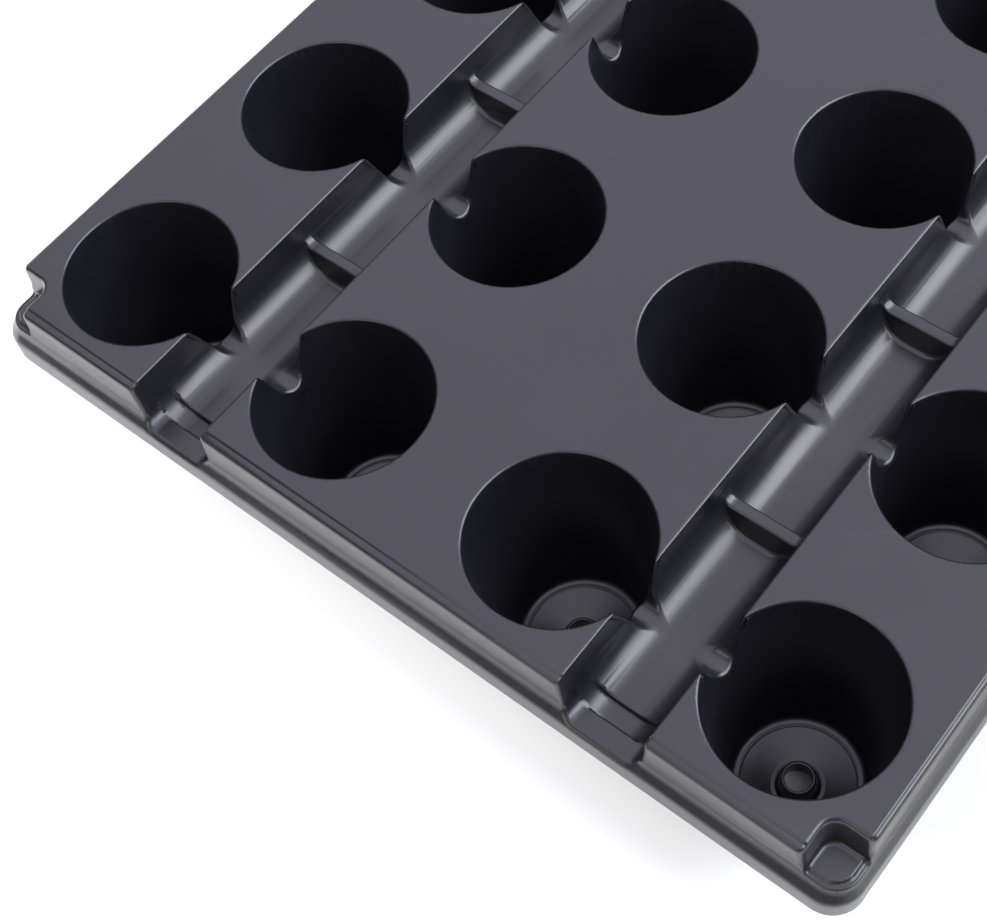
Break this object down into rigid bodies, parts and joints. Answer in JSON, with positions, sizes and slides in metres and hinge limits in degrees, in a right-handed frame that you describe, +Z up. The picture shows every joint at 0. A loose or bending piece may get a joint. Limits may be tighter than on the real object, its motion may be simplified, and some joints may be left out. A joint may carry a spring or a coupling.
{
  "type": "thermoformed cell tray",
  "caption": "Thermoformed plastic tray with rows of tapered round cells, drain collars, cross-ribbed drainage channels and a stepped skirt with notched corners.",
  "frame": {"origin": "middle of the footprint, on the plane that the cell feet stand on", "axes": "+X across the tray, +Y along its longer side, +Z up out of the cells"},
  "size_m": [0.2696, 0.5398, 0.06],
  "materials": {
    "sheet": "satin black polystyrene with a slight sheen"
  },
  "bodies": {
    "root": {"tray": "sheet"}
  },
  "joints": []
}
